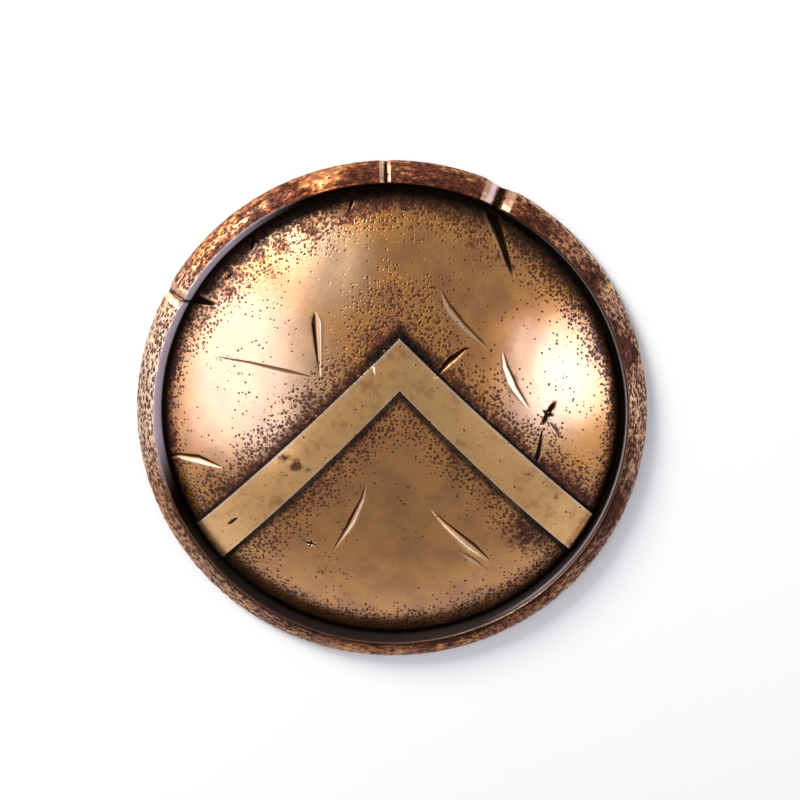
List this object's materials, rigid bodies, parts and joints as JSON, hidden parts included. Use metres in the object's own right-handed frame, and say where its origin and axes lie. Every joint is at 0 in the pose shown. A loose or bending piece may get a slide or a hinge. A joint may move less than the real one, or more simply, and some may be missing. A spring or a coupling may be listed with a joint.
{
  "type": "hoplite shield",
  "caption": "Round domed bronze shield with a raised rim and chevron, battle dents, an arm band and a leather hand grip inside; it lies face up on its rim.",
  "frame": {"origin": "middle of the rim's underside, on the surface that the shield lies on", "axes": "+Z out of the domed face, +Y towards the tip of the chevron, the hand grip at -X"},
  "size_m": [0.6096, 0.6096, 0.0793],
  "materials": {
    "antique_bronze": "pitted antiqued bronze with dark patina and rubbed bright places",
    "dark_bronze": "plain dark patinated bronze",
    "rivet_bronze": "hammered bronze rivet heads",
    "brown_leather": "waxed brown leather with stitched edges"
  },
  "bodies": {
    "root": {"shield_shell": "antique_bronze", "arm_band": "dark_bronze", "arm_rivet_1": "rivet_bronze", "arm_rivet_2": "rivet_bronze", "arm_rivet_3": "rivet_bronze", "arm_rivet_4": "rivet_bronze", "hand_grip": "brown_leather", "grip_rivet_1": "rivet_bronze", "grip_rivet_2": "rivet_bronze"}
  },
  "joints": []
}
